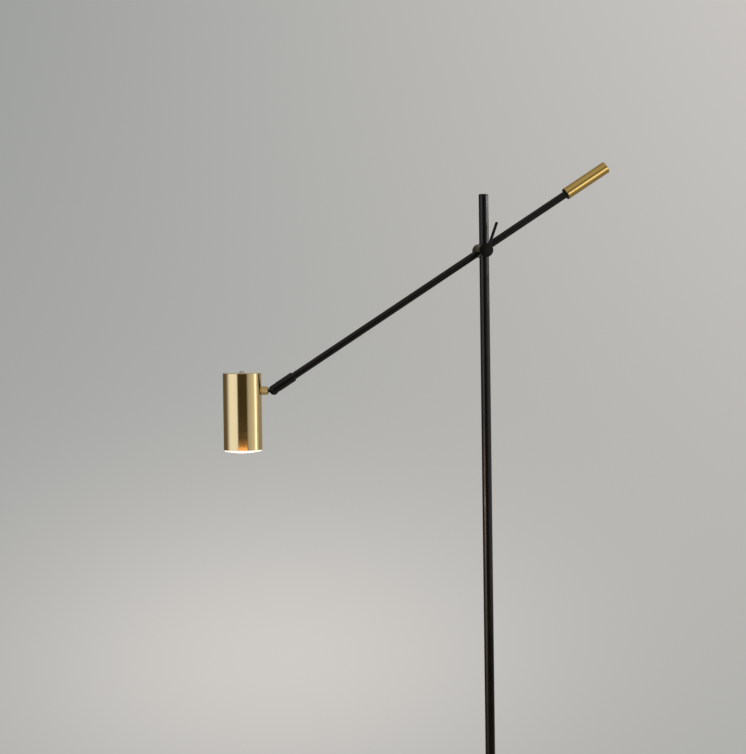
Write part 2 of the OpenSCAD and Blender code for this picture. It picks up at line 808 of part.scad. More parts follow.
// Tongue: an eye on the pivot, a neck, a flange and the hollow swivel stem
module knuckle_tongue() {
    color("#24231f") difference() {
        union() {
            at_knuckle() rotate([-90, 0, 0]) translate([0, 0, -tongue_t / 2])
                cylinder(d = eye_d, h = tongue_t);
            at_knuckle() translate([-flange_at - flange_t / 2, -tongue_t / 2, -neck_h / 2])
                cube([flange_at + flange_t / 2, tongue_t, neck_h]);
            on_swivel(flange_at) chamfered(flange_d, flange_t, 0.2, 0);
            on_swivel(flange_at + flange_t / 2)
                chamfered(stem_d, stem_end_u - flange_at - flange_t / 2, 0, 0.4);
        }
        at_knuckle() rotate([-90, 0, 0]) translate([0, 0, -tongue_t])
            cylinder(d = pivot_d + 2 * run_fit, h = 2 * tongue_t);
        on_swivel(flange_at - 1.5) cylinder(d = stem_bore, h = stem_end_u);
        at_knuckle() translate([-flange_at + 1.5, 0, -neck_h]) cylinder(d = stem_bore, h = neck_h);
    }
}

// Half the angle of the tab and of the lug that meet at the swivel's stops
function tab_half() = (180 - swivel_stop) / 2;

// A sector of a ring, centred on +X, from the inner to the outer radius
module ring_sector(inner, outer, half, h) {
    rotate([0, 0, -half]) rotate_extrude(angle = 2 * half)
        translate([inner, 0]) square([outer - inner, h]);
}

// Stop washer fixed on the stem, with the tab that meets the saddle's lug
module stop_washer() {
    color("#b9b7b0") on_swivel(stop_washer_u) difference() {
        union() {
            cylinder(d = stem_d + 3.2, h = stop_washer_t);
            ring_sector(stem_d / 2 + 1, saddle_d / 2 - 0.2, tab_half() - 0.5, stop_washer_t);
        }
        translate([0, 0, -1]) cylinder(d = stem_d + 2 * snug_fit, h = stop_washer_t + 2);
    }
}

// Split spring washer
module spring_washer() {
    color("#8d8b86") on_swivel(spring_washer_u) difference() {
        washer(swivel_nut_af, stem_d + 2 * snug_fit, spring_washer_t);
        translate([0, -0.5, -1]) cube([swivel_nut_af, 1, spring_washer_t + 2]);
    }
}

module swivel_nut() {
    color("#b9b7b0") on_swivel(swivel_nut_u)
        hex_nut(swivel_nut_af, stem_d + 2 * snug_fit, swivel_nut_h);
}

// Brass collar between the knuckle and the head, shaped to the head's side
module swivel_collar() {
    color("#c9a66b") difference() {
        on_swivel(collar_u) difference() {
            chamfered(collar_d, collar_len + 2, collar_chamfer, 0);
            translate([0, 0, -1]) cylinder(d = stem_d + 2 * run_fit, h = collar_len + 4);
        }
        in_head() translate([0, 0, -collar_d])
            cylinder(r = head_r + face_gap / 2, h = 2 * collar_d);
    }
}

// Saddle washer: round to the shell's inside, flat to the stop washer, with a lug
module saddle_washer() {
    color("#b9b7b0") {
        intersection() {
            on_swivel(head_u - head_r) difference() {
                cylinder(d = saddle_d, h = saddle_u - head_u + head_r);
                translate([0, 0, -1]) cylinder(d = stem_d + 2 * pass_gap, h = head_r);
            }
            in_head() translate([0, 0, -saddle_d])
                cylinder(r = shell_r - face_gap / 2, h = 2 * saddle_d);
        }
        on_swivel(saddle_u - 0.2) rotate([0, 0, 180])
            ring_sector(stem_d / 2 + 2, saddle_d / 2 - 0.4, tab_half() - 0.5,
                        stop_washer_t + 0.2);
    }
}

// ---- head ----------------------------------------------------------------

// Drawn brass cup, closed at the top
module head_shell() {
    color("#c9a66b") difference() {
        in_head() translate([0, 0, head_rim]) difference() {
            turned(head_d, head_h, 0.3, top_round);
            translate([0, 0, -1]) cylinder(r = shell_r, h = head_h - top_t + 1);
            cylinder(d = top_screw_d + 2 * pass_gap, h = head_h + 1);
        }
        on_swivel(head_u - head_r - 1) cylinder(d = stem_d + 2 * pass_gap, h = shell_t + 3);
    }
}

// Domed screw through the head's top into the heat sink's core
module top_screw() {
    grip = 8;
    dome_r = (pow(dome_d / 2, 2) + pow(dome_h, 2)) / (2 * dome_h);
    color("#8f7a50") in_head() difference() {
        union() {
            intersection() {
                translate([0, 0, head_top + dome_h - dome_r]) sphere(r = dome_r);
                translate([0, 0, head_top]) cylinder(d = dome_d, h = dome_h);
            }
            translate([0, 0, core_top - grip])
                chamfered(top_screw_d, head_top - core_top + grip + 0.5, 0.4, 0);
        }
        translate([0, 0, head_top + dome_h - 1.3])
            cylinder(d = dome_d * 0.33, h = 2, $fn = 6);
    }
}

// Spacer tube from the head's top down to the heat sink
module sink_spacer() {
    color("#b9b7b0") in_head() translate([0, 0, core_top])
        tube(spacer_d, top_screw_d + 2 * pass_gap, head_top - top_t - core_top, 0.3);
}

// Finned aluminium heat sink, tapped in its core and notched for the lead
module heat_sink() {
    grip = 10;
    color("#c4c5c7") in_head() difference() {
        union() {
            translate([0, 0, sink_z]) cylinder(r = sink_r, h = sink_floor);
            translate([0, 0, fins_z - 1]) cylinder(d = core_d, h = core_top - fins_z + 1);
            for (i = [0 : fin_count - 1])
                rotate([0, 0, (i + 0.5) * 360 / fin_count])
                    translate([core_d / 2 - 0.7, -fin_t / 2, fins_z - 1])
                        cube([sink_r - core_d / 2 - 0.3, fin_t, fin_h + 1]);
        }
        translate([0, 0, core_top - grip])
            cylinder(d = top_screw_d + 2 * snug_fit, h = grip + 1);
        translate([lead_x, 0, sink_z - 1])
            cylinder(d = lead_d + 2 * pass_gap, h = core_top - sink_z + 2);
        for (side = [-1, 1])
            translate([0, side * board_screw_r, sink_z - 1])
                cylinder(d = board_screw_d + 2 * snug_fit, h = sink_floor);
    }
}

// Light board, drilled for its screws
module light_board() {
    color("#f1efe8") in_head() translate([0, 0, board_z]) difference() {
        cylinder(d = board_d, h = board_t);
        for (side = [-1, 1])
            translate([0, side * board_screw_r, -1])
                cylinder(d = board_screw_d + 2 * snug_fit, h = board_t + 2);
    }
}

// Light emitter: a round chip under its phosphor
module light_emitter() {
    color("#f2d45c") in_head() translate([0, 0, board_z - emitter_t])
        turned(emitter_d, emitter_t, 0.3, 0);
}

// The two screws that hold the board on the heat sink
module board_screws() {
    color("#b9b7b0") in_head() for (side = [-1, 1])
        translate([0, side * board_screw_r, board_z]) {
            translate([0, 0, -board_screw_d * 0.6])
                turned(board_screw_d * 1.6, board_screw_d * 0.6, board_screw_d * 0.3, 0);
            cylinder(d = board_screw_d, h = board_t + sink_floor - 1.5);
        }
}

// Spun reflector: a parabola from the emitter out to the diffuser
module reflector() {
    steps = 14;
    throat = emitter_d / 2 + 0.6;
    mouth = shell_r - skirt_t + 1;
    inner = [for (i = [0 : steps])
        [sqrt(throat * throat + (mouth * mouth - throat * throat) * i / steps),
         -reflector_h * i / steps]];
    outer = [for (i = [steps : -1 : 0]) [inner[i][0] + reflector_t, inner[i][1]]];
    color("#e6e6e4") in_head() translate([0, 0, board_z - face_gap / 2])
        rotate_extrude() polygon(concat(inner, outer));
}

// Opal diffuser: a disc that stands proud of the rim with a bulging face, on a skirt inside the head
module diffuser() {
    outer_d = 2 * (shell_r - snug_fit - 0.1);
    height = diffuser_proud + skirt_h - face_gap;
    bulge_a = outer_d / 2 - diffuser_round - 0.2;
    bulge_r = (bulge_a * bulge_a + diffuser_crown * diffuser_crown) / (2 * diffuser_crown);
    color("#fdf8ea") in_head() translate([0, 0, head_rim - diffuser_proud]) difference() {
        union() {
            turned(outer_d, height, diffuser_round, 0);
            rotate_extrude() intersection() {
                translate([0, bulge_r - diffuser_crown]) circle(r = bulge_r, $fn = 720);
                translate([0, -diffuser_crown - 1]) square([bulge_a, diffuser_crown + 1 + diffuser_proud / 2]);
            }
        }
        translate([0, 0, diffuser_proud]) cylinder(d = outer_d - 2 * skirt_t, h = height);
        translate([0, 0, diffuser_proud + (skirt_h - o_ring_d) / 2 - 0.1])
            washer(outer_d + 2, 2 * ring_r() - o_ring_d - 0.1, o_ring_d + 0.2);
    }
}

// Radius of the grip ring's centre line, so that it just meets the shell
function ring_r() = shell_r - o_ring_d / 2 - face_gap / 2;

// Rubber ring in the diffuser's groove, which grips the shell
module diffuser_ring() {
    color("#3a3a3a") in_head() translate([0, 0, head_rim + skirt_h / 2])
        rotate_extrude() translate([ring_r(), 0]) circle(d = o_ring_d);
}

// Lead from the stem's end down through the heat sink to the board
module head_lead() {
    start_x = head_u - stem_end_u - 0.3;
    bend = start_x - lead_x;
    color("#d8d6cf") in_head() {
        translate([start_x, 0, -bend]) rotate([90, 0, 0]) rotate([0, 0, 90])
            rotate_extrude(angle = 90) translate([bend, 0]) circle(d = lead_d);
        translate([lead_x, 0, sink_z]) cylinder(d = lead_d, h = -bend - sink_z);
    }
}

base_cover();
base_weight();
base_pad();
base_stud();
base_nut();
base_washer();
foot_flange();
foot_insert();
cord_grommet();
led_driver();
pole_lower();
pole_middle();
pole_upper();
pole_joiners();
pole_cap();
pole_lead();
hub_body();
hub_screw();
fibre_washer();
knob_washer();
clamp_knob();
clamp_lever();
arm_block();
arm_screw();
stop_pin();
arm_tube();
arm_lead();
counterweight();
weight_ring();
weight_screw();
knuckle_sleeve();
pivot_screw();
knuckle_tongue();
stop_washer();
spring_washer();
swivel_nut();
swivel_collar();
saddle_washer();
head_shell();
top_screw();
sink_spacer();
heat_sink();
light_board();
light_emitter();
board_screws();
reflector();
diffuser();
diffuser_ring();
head_lead();
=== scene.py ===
import json
import math

import bpy
import numpy as np
from mathutils import Matrix, Vector


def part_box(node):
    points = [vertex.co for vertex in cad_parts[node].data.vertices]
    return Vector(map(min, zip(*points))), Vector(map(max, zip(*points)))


# ---- The frame -------------------------------------------------------------
# The lamp's solids come in at their real size and place, and stay there. The
# camera, the lights and the finishes are set round them.
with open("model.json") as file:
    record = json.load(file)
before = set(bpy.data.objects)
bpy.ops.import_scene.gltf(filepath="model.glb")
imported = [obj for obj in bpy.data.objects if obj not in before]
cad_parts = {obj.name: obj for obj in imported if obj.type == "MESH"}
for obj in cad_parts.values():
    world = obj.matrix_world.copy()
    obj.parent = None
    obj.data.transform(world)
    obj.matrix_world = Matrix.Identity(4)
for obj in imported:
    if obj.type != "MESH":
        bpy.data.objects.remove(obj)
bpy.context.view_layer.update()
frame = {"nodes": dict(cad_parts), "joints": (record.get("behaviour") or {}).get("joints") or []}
nodes = frame["nodes"]
joints = {j["name"]: j for j in frame["joints"]}
hub = Vector(joints["arm_tilt"]["pos_m"])
knuckle = Vector(joints["head_tilt"]["pos_m"])
scene = bpy.context.scene


# ---- The camera ------------------------------------------------------------
# It stands a little to the left of the lamp's front and below the hub, almost
# level, with a long lens that shows about the top 0.75 m of the lamp.
camera_turn, camera_dip, camera_roll = -10, -1.5, -0.79
stand_off, aside, eye_height = 2.75, 0.1469, 1.336
view = bpy.data.cameras.new("view")
view.lens = 100.74
view.sensor_width = 36
camera = bpy.data.objects.new("view", view)
turn, dip, roll = (math.radians(angle) for angle in (camera_turn, camera_dip, camera_roll))
away = Vector((math.sin(turn), -math.cos(turn), 0))
across = Vector((math.cos(turn), math.sin(turn), 0))
ahead = -away * math.cos(dip) + Vector((0, 0, 1)) * math.sin(dip)
above = across.cross(ahead)
right = across * math.cos(roll) + above * math.sin(roll)
up = -across * math.sin(roll) + above * math.cos(roll)
place = away * stand_off - across * aside + Vector((0, 0, eye_height))
camera.matrix_world = Matrix.Translation(place) @ Matrix((right, up, -ahead)).transposed().to_4x4()
scene.collection.objects.link(camera)
scene.camera = camera


# ---- The room --------------------------------------------------------------
# A photographer's room: a pale grey wall that is brighter to the right and
# where the lamp shines on it, with the room's own dim light all round.
def linear(code):
    """An sRGB hex colour such as "#c9a66b" as linear RGBA."""
    parts = [int(code[i:i + 2], 16) / 255 for i in (1, 3, 5)]
    return [c / 12.92 if c <= 0.04045 else ((c + 0.055) / 1.055) ** 2.4 for c in parts] + [1.0]


def add(tree, kind, sets=None, links=None):
    """Adds a node. sets gives its settings and input values, links what feeds each input."""
    node = tree.nodes.new(kind)
    for key, value in (sets or {}).items():
        if isinstance(key, str) and hasattr(node, key):
            setattr(node, key, value)
        else:
            node.inputs[key].default_value = value
    for key, source in (links or {}).items():
        tree.links.new(source.outputs[0] if hasattr(source, "outputs") else source, node.inputs[key])
    return node


world = bpy.data.worlds.new("room")
scene.world = world
world.use_nodes = True
room = world.node_tree
room.nodes.clear()
facing = add(room, "ShaderNodeTexCoord").outputs["Generated"]
part = {}
for name, line in (("right", right), ("up", up), ("ahead", ahead)):
    share = add(room, "ShaderNodeVectorMath", {"operation": "DOT_PRODUCT", 1: line}, {0: facing})
    part[name] = share.outputs["Value"]

# The wall: its brightness is a slope and a twist, and an oval pool of the lamp's
# own light. Places on it are sines of the angle from straight ahead.
wall_reach = 0.19
wall_slope = (0.308, 0.112, 1.55)
pool_x, pool_y, pool_w, pool_h = -0.0476, -0.1318, 0.1348, 0.0748
pool_light, wall_light = 0.182, 0.432
wall_tint, wall_cast = (1.12, 0.984, 0.897), (-0.0457, 0.0118, 0.0339)
spot = add(room, "ShaderNodeCombineXYZ", None, {0: part["right"], 1: part["up"]})
spot = add(room, "ShaderNodeVectorMath",
           {"operation": "MAXIMUM", 1: (-wall_reach, -wall_reach, 0)}, {0: spot})
spot = add(room, "ShaderNodeVectorMath",
           {"operation": "MINIMUM", 1: (wall_reach, wall_reach, 0)}, {0: spot})
split = add(room, "ShaderNodeSeparateXYZ", None, {0: spot}).outputs
twist = add(room, "ShaderNodeMath", {"operation": "MULTIPLY"}, {0: split[0], 1: split[1]})
terms = add(room, "ShaderNodeCombineXYZ", None, {0: split[0], 1: split[1], 2: twist})
slope = add(room, "ShaderNodeVectorMath", {"operation": "DOT_PRODUCT", 1: wall_slope},
            {0: terms}).outputs["Value"]
offset = add(room, "ShaderNodeVectorMath",
             {"operation": "MULTIPLY_ADD", 1: (1 / pool_w, 1 / pool_h, 0),
              2: (-pool_x / pool_w, -pool_y / pool_h, 0)},
             {0: spot})
square = add(room, "ShaderNodeVectorMath", {"operation": "DOT_PRODUCT"},
             {0: offset, 1: offset}).outputs["Value"]
fade = add(room, "ShaderNodeMath", {"operation": "MULTIPLY", 1: -1.0}, {0: square})
pool = add(room, "ShaderNodeMath", {"operation": "EXPONENT"}, {0: fade})
glow = add(room, "ShaderNodeMath",
           {"operation": "MULTIPLY_ADD", 1: pool_light, 2: wall_light}, {0: pool})
bright = add(room, "ShaderNodeMath", {"operation": "ADD"}, {0: slope, 1: glow})
paint = add(room, "ShaderNodeVectorMath",
            {"operation": "MULTIPLY_ADD", 1: wall_tint, 2: wall_cast}, {0: bright})
wall = add(room, "ShaderNodeBackground", {"Strength": 1.0}, {"Color": paint})

# The light from all round: a ceiling that is brighter in front, a paler side
# behind and to the right, and a warm dimness in the rest. In a Map Range node,
# inputs 1 and 2 are the range that it reads, and 3 and 4 the range that it gives.
height = add(room, "ShaderNodeSeparateXYZ", None, {0: facing}).outputs[2]
over = add(room, "ShaderNodeMapRange",
           {"interpolation_type": "SMOOTHSTEP", 1: 0.05, 2: 0.75, 3: 0.0, 4: 1.0}, {0: height})
front = add(room, "ShaderNodeMapRange",
            {"interpolation_type": "SMOOTHSTEP", 1: -0.45, 2: 0.35, 3: 0.46, 4: 0.2},
            {0: part["ahead"]})
ceiling = add(room, "ShaderNodeMath", {"operation": "MULTIPLY"}, {0: over, 1: front})
level = add(room, "ShaderNodeCombineXYZ", None, {0: part["right"], 1: part["ahead"]})
side = add(room, "ShaderNodeVectorMath", {"operation": "DOT_PRODUCT", 1: (0.8, 0.5, 0)},
           {0: level}).outputs["Value"]
behind = add(room, "ShaderNodeMapRange",
             {"interpolation_type": "SMOOTHSTEP", 1: 0.0, 2: 0.9, 3: 0.0, 4: 0.2}, {0: side})
both = add(room, "ShaderNodeMath", {"operation": "ADD"}, {0: ceiling, 1: behind})
pale = add(room, "ShaderNodeBackground", {"Color": linear("#f4f2ee")}, {"Strength": both})
dim = add(room, "ShaderNodeMapRange",
          {"interpolation_type": "SMOOTHSTEP", 1: -0.2, 2: 0.6, 3: 0.05, 4: 0.13},
          {0: part["ahead"]})
dusk = add(room, "ShaderNodeBackground", {"Color": linear("#ffdfae")}, {"Strength": dim})
light = add(room, "ShaderNodeAddShader", None, {0: pale, 1: dusk})

# The wall is seen on every side. Metal mirrors it only where it stands behind the
# lamp: its mirror image fades out between 8 and 22 degrees from straight ahead.
ray = add(room, "ShaderNodeLightPath").outputs
shiny = add(room, "ShaderNodeMath", {"operation": "ADD"},
            {0: ray["Is Glossy Ray"], 1: ray["Is Transmission Ray"]})
backdrop = add(room, "ShaderNodeMapRange",
               {"interpolation_type": "SMOOTHSTEP", 1: 0.93, 2: 0.99, 3: 0.0, 4: 1.0},
               {0: part["ahead"]})
mirrored = add(room, "ShaderNodeMath", {"operation": "MULTIPLY"}, {0: shiny, 1: backdrop})
shown = add(room, "ShaderNodeMath", {"operation": "ADD", "use_clamp": True},
            {0: ray["Is Camera Ray"], 1: mirrored})
either = add(room, "ShaderNodeMixShader", None, {0: shown, 1: light, 2: wall})
add(room, "ShaderNodeOutputWorld", None, {"Surface": either})
scene.view_settings.view_transform = "Standard"


# ---- The floor -------------------------------------------------------------
# A disc of screed under matt pale grey paint, rolled on, so that it is faintly
# cloudy.
def principled(name, **sets):
    """A new material with a Principled shader: (material, its node tree, Object coordinates)."""
    made = bpy.data.materials.new(name)
    made.use_nodes = True
    shader = made.node_tree.nodes["Principled BSDF"]
    for key, value in sets.items():
        shader.inputs[key.replace("_", " ")].default_value = value
    where = add(made.node_tree, "ShaderNodeTexCoord").outputs["Object"]
    return made, made.node_tree, where


def spread(made, pattern, shades=None, gloss=None, relief=None):
    """Varies a material by a pattern: two shades, a range of roughness, a bump's strength and depth.

    The roughness runs over 0.3 to 0.7 of the pattern, where most of a noise lies.
    """
    tree = made.node_tree
    shader = tree.nodes["Principled BSDF"]
    if shades:
        first, second = (linear(shade) for shade in shades)
        mixed = add(tree, "ShaderNodeMix", {"data_type": "RGBA", 6: first, 7: second}, {0: pattern})
        tree.links.new(mixed.outputs[2], shader.inputs["Base Color"])
    if gloss:
        rough = add(tree, "ShaderNodeMapRange", {1: 0.3, 2: 0.7, 3: gloss[0], 4: gloss[1]}, {0: pattern})
        tree.links.new(rough.outputs[0], shader.inputs["Roughness"])
    if relief:
        bump = add(tree, "ShaderNodeBump", {"Strength": relief[0], "Distance": relief[1]},
                   {"Height": pattern})
        tree.links.new(bump.outputs[0], shader.inputs["Normal"])


floor_r = 3.4
floor_sides = 128
floor_paint, tree, where = principled("floor_paint_matt_grey", Roughness=0.75)
cloud = add(tree, "ShaderNodeTexNoise", {"Scale": 3.0, "Detail": 4.0}, {"Vector": where})
spread(floor_paint, cloud, shades=("#dcdbd8", "#d3d2cf"))
floor_mesh = bpy.data.meshes.new("floor")
turns = np.linspace(0, 2 * math.pi, floor_sides + 1)[:-1]
edge = np.stack([floor_r * np.cos(turns), floor_r * np.sin(turns), np.zeros_like(turns)], 1)
floor_mesh.from_pydata(edge.tolist(), [], [list(range(floor_sides))])
floor_mesh.materials.append(floor_paint)
floor = bpy.data.objects.new("floor", floor_mesh)
scene.collection.objects.link(floor)


# ---- The studio lamps ------------------------------------------------------
# A large daylight softbox on the left and a white wall lit from its far end on
# the right, and flagged lamps that each light one or two pieces alone.
def softbox(name, bearing, foot, top, distance, width, strength, colour="#ffffff", aim=knuckle, bands=None):
    """A rectangular lamp of even brightness, bearing degrees round aim from the camera's side.

    foot and top are its lower and upper edges' heights. bands, pairs of (bearing,
    brightness), grade it from side to side as seen from aim.
    """
    lamp = bpy.data.lights.new(name, "AREA")
    lamp.shape = "RECTANGLE"
    lamp.size, lamp.size_y = width, top - foot
    lamp.energy = strength * math.pi * width * (top - foot)
    lamp.color = linear(colour)[:3]
    if bands:
        lamp.use_nodes = True
        tree = lamp.node_tree
        face = add(tree, "ShaderNodeTexCoord").outputs["UV"]
        along = add(tree, "ShaderNodeSeparateXYZ", None, {0: face})
        ramp = add(tree, "ShaderNodeValToRGB", None, {0: along})
        for n, (at, level) in enumerate(bands):
            u = 0.5 + math.tan(math.radians(at - bearing)) * distance / width
            stop = ramp.color_ramp.elements[n] if n < 2 else ramp.color_ramp.elements.new(u)
            stop.position, stop.color = u, (level, level, level, 1)
        tree.links.new(ramp.outputs[0], tree.nodes["Emission"].inputs["Color"])
    box = bpy.data.objects.new(name, lamp)
    a = math.radians(bearing + camera_turn)
    middle = Vector((aim.x, aim.y, (foot + top) / 2))
    box.location = middle + Vector((math.sin(a), -math.cos(a), 0)) * distance
    box.rotation_euler = (middle - box.location).to_track_quat("-Z", "Y").to_euler()
    box.visible_camera = False
    scene.collection.objects.link(box)
    return box


softbox("softbox_left", bearing=-66, foot=0.55, top=2.0, distance=1.7, width=3.1, strength=1.18,
        colour="#e9effd",
        bands=[(-107, 0.0), (-92, 0.35), (-78, 0.93), (-60, 0.96), (-32, 0.92), (-27, 0.5), (-24.5, 0.0)])
softbox("wall_right", bearing=67, foot=0.75, top=1.9, distance=1.7, width=3.1, strength=0.5,
        bands=[(27, 0.0), (33, 0.6), (40, 0.81), (60, 0.9), (74, 1.0), (94, 1.0), (102, 0.7), (110, 0.4)])


def only(lamp, *names):
    """Keeps a lamp's light to the CAD nodes named, as a flag on a stand would."""
    lit = bpy.data.collections.new("lit_by_" + lamp.name)
    for name in names:
        lit.objects.link(nodes[name])
    lamp.light_linking.receiver_collection = lit


def middle_of(name):
    """The middle of a CAD node's box."""
    low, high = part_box(name)
    return (Vector(low) + Vector(high)) / 2


# Four flagged lamps draw the bright lines: a strip down the head, a wide strip high
# behind the pole's top, and a card each for the counterweight and the collar.
only(softbox("strip_head", bearing=87, foot=0.75, top=1.9, distance=1.7, width=1.1, strength=1.0,
             bands=[(72, 0.0), (79, 0.25), (83, 1.0), (90, 1.0), (95, 0.25), (103, 0.0)]),
     "head_shell", "swivel_collar")
only(softbox("strip_pole", bearing=91, foot=1.53, top=2.6, distance=1.7, width=2.3, strength=7.0, aim=hub,
             bands=[(60, 0.0), (66, 1.0), (106, 0.75), (124, 0.4)]),
     "pole_upper", "pole_cap")
only(softbox("card_weight", bearing=40, foot=0.98, top=1.46, distance=1.5, width=0.75, strength=0.95,
             aim=middle_of("counterweight")),
     "counterweight")
only(softbox("card_collar", bearing=8, foot=0.9, top=1.46, distance=1.5, width=0.8, strength=1.1),
     "swivel_collar")

# Four more give what the lit diffuser throws about it. Two cards close below the
# shell's rim draw a glow up it, and two lamps far off draw a warm glint on the
# pole below the head and a faint glow further down.
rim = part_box("head_shell")[0][2]
card_foot = rim - 0.0536
glint_foot = 0.915
only(softbox("glow_rim", bearing=2, foot=card_foot, top=rim - 0.0066, distance=0.2, width=0.19,
             strength=1.6, colour="#ffb976", aim=middle_of("head_shell")),
     "head_shell")
only(softbox("glare_rim", bearing=2, foot=card_foot, top=rim - 0.0081, distance=0.2, width=0.19,
             strength=2.6, colour="#ffeecc", aim=middle_of("head_shell")),
     "head_shell")
only(softbox("glint_warm", bearing=-56, foot=glint_foot, top=0.99, distance=1.7, width=0.95,
             strength=12.0, colour="#ffd2a4", aim=hub),
     "pole_upper", "pole_middle")
only(softbox("glow_warm", bearing=-60, foot=0.38, top=glint_foot, distance=1.7, width=1.3,
             strength=1.0, colour="#ffc07c", aim=hub),
     "pole_upper", "pole_middle")


# ---- Base: cover and foot flange -------------------------------------------
# A round cover spun from 1.2 mm steel with a rounded edge, and the turned flange
# that hides the pole's foot. Powder coated satin black and baked: the coat has
# an orange peel about 1 mm across, and its gloss differs a little in patches.
def dress(material, *names):
    """Gives CAD nodes one material in place of their own."""
    for name in names:
        nodes[name].data.materials.clear()
        nodes[name].data.materials.append(material)


def powder_coat(name, colour, gloss, depth):
    """Satin powder coat: a colour, a roughness that wanders by 0.05 either way, and the peel's depth."""
    coat, tree, where = principled(name, Base_Color=linear(colour), Roughness=gloss, Specular_IOR_Level=0.36)
    patch = add(tree, "ShaderNodeTexNoise", {"Scale": 28.0, "Detail": 3.0}, {"Vector": where})
    spread(coat, patch, gloss=(gloss - 0.05, gloss + 0.05))
    peel = add(tree, "ShaderNodeTexNoise", {"Scale": 900.0, "Detail": 2.0}, {"Vector": where})
    spread(coat, peel, relief=(depth, 0.0002))
    return coat


dress(powder_coat("powder_coat_base_black", "#161513", 0.33, 0.35), "base_cover", "foot_flange")


# ---- Base: weight ----------------------------------------------------------
# Grey iron cast in sand and dipped in dark grey primer. The sand leaves a coarse
# skin, with grains of about 0.8 mm, and the primer a dull, uneven sheen.
grain_mm = 0.8
iron, tree, where = principled("cast_iron_primed", Roughness=0.7)
cloud = add(tree, "ShaderNodeTexNoise", {"Scale": 40.0, "Detail": 5.0}, {"Vector": where})
spread(iron, cloud, shades=("#45474a", "#36383a"), gloss=(0.6, 0.8))
grain = add(tree, "ShaderNodeTexNoise", {"Scale": 1000 / grain_mm, "Detail": 4.0}, {"Vector": where})
spread(iron, grain, relief=(0.5, 0.0003))
dress(iron, "base_weight")


# ---- Base: foam pad --------------------------------------------------------
# Closed-cell EVA foam, cut from sheet and glued under the weight. Cut cells of
# about 0.6 mm make its face dull and pitted.
foam, tree, where = principled("eva_foam_black", Roughness=0.92, Specular_IOR_Level=0.3)
cells = add(tree, "ShaderNodeTexVoronoi", {"Scale": 1600.0}, {"Vector": where}).outputs["Distance"]
spread(foam, cells, shades=("#1a1a1b", "#303031"), relief=(0.5, 0.0003))
dress(foam, "base_pad")


# ---- Base: stud, nut, washer and insert ------------------------------------
# Turned steel fixings under bright zinc plate: a cool grey metal with faint
# yellow and blue clouds, and tool marks drawn 0.5 mm apart, far coarser than real.
bright_zinc, tree, where = principled("zinc_plate_bright", Metallic=1.0, Roughness=0.3)
cloud = add(tree, "ShaderNodeTexNoise", {"Scale": 120.0, "Detail": 3.0}, {"Vector": where})
spread(bright_zinc, cloud, shades=("#c8c7c0", "#b9bfc6"))
stretch = add(tree, "ShaderNodeVectorMath", {"operation": "MULTIPLY", 1: (60, 60, 2000)}, {0: where})
rings = add(tree, "ShaderNodeTexNoise", {"Scale": 1.0, "Detail": 2.0}, {"Vector": stretch})
spread(bright_zinc, rings, gloss=(0.24, 0.36), relief=(0.08, 0.0001))
dress(bright_zinc, "base_stud", "base_nut", "base_washer", "foot_insert")


# ---- Base: cord bush -------------------------------------------------------
# Moulded black rubber, snapped into the cover's back where the mains cord goes
# in. It is dull, with a faint bloom in patches and a skin of 0.5 mm grain.
def moulded_rubber(name, colour):
    """Moulded rubber of a colour."""
    rubber, tree, where = principled(name, Base_Color=linear(colour), Roughness=0.62, Specular_IOR_Level=0.4)
    bloom = add(tree, "ShaderNodeTexNoise", {"Scale": 90.0, "Detail": 4.0}, {"Vector": where})
    spread(rubber, bloom, gloss=(0.5, 0.72))
    grain = add(tree, "ShaderNodeTexNoise", {"Scale": 2000.0, "Detail": 2.0}, {"Vector": where})
    spread(rubber, grain, relief=(0.2, 0.0001))
    return rubber


dress(moulded_rubber("rubber_moulded_black", "#191918"), "cord_grommet")


# ---- Base: driver ----------------------------------------------------------
# Polycarbonate case, injection moulded in a spark-eroded mould, so that its white
# walls are evenly dull. The spark grain is drawn 0.4 mm across.
case, tree, where = principled("polycarbonate_spark_eroded", Base_Color=linear("#dcdad2"), Roughness=0.5)
spark = add(tree, "ShaderNodeTexNoise", {"Scale": 2500.0, "Detail": 3.0}, {"Vector": where})
spread(case, spark, gloss=(0.44, 0.58), relief=(0.25, 0.0001))
dress(case, "led_driver")


# ---- Pole: three tubes, cap and joiners ------------------------------------
# Half-inch steel tube in three lengths, butted on zinc-plated joiners and closed
# by a turned cap. Powder coated satin black, glossier than the base.
satin_black = powder_coat("powder_coat_satin_black", "#131210", 0.19, 0.03)
dress(satin_black, "pole_lower", "pole_middle", "pole_upper", "pole_cap")
dress(bright_zinc, "pole_joiners")


# ---- Hub, arm block and knuckle --------------------------------------------
# Turned and cross-drilled steel in satin black: the hub on the pole, the slotted
# sleeve at the arm's end, the eye in its slot and, coated duller, the arm's block.
# The stop pin, the washers and the nut are zinc plated.
dress(satin_black, "hub_body", "knuckle_sleeve", "knuckle_tongue")
dress(powder_coat("powder_coat_block_black", "#131210", 0.4, 0.05), "arm_block")
dress(bright_zinc, "stop_pin", "knob_washer", "stop_washer", "spring_washer", "swivel_nut", "saddle_washer")


# ---- Fibre washer ----------------------------------------------------------
# Vulcanised fibre, stamped from dark grey-brown sheet. Its fibres run mostly one
# way, and show as short flecks about 1 mm long.
fibre, tree, where = principled("vulcanised_fibre_grey", Roughness=0.66)
stretch = add(tree, "ShaderNodeVectorMath", {"operation": "MULTIPLY", 1: (1000, 3000, 4000)}, {0: where})
flecks = add(tree, "ShaderNodeTexNoise", {"Scale": 1.0, "Detail": 4.0, "Distortion": 0.6},
             {"Vector": stretch})
spread(fibre, flecks, shades=("#3a322b", "#4d443b"), relief=(0.3, 0.0001))
dress(fibre, "fibre_washer")


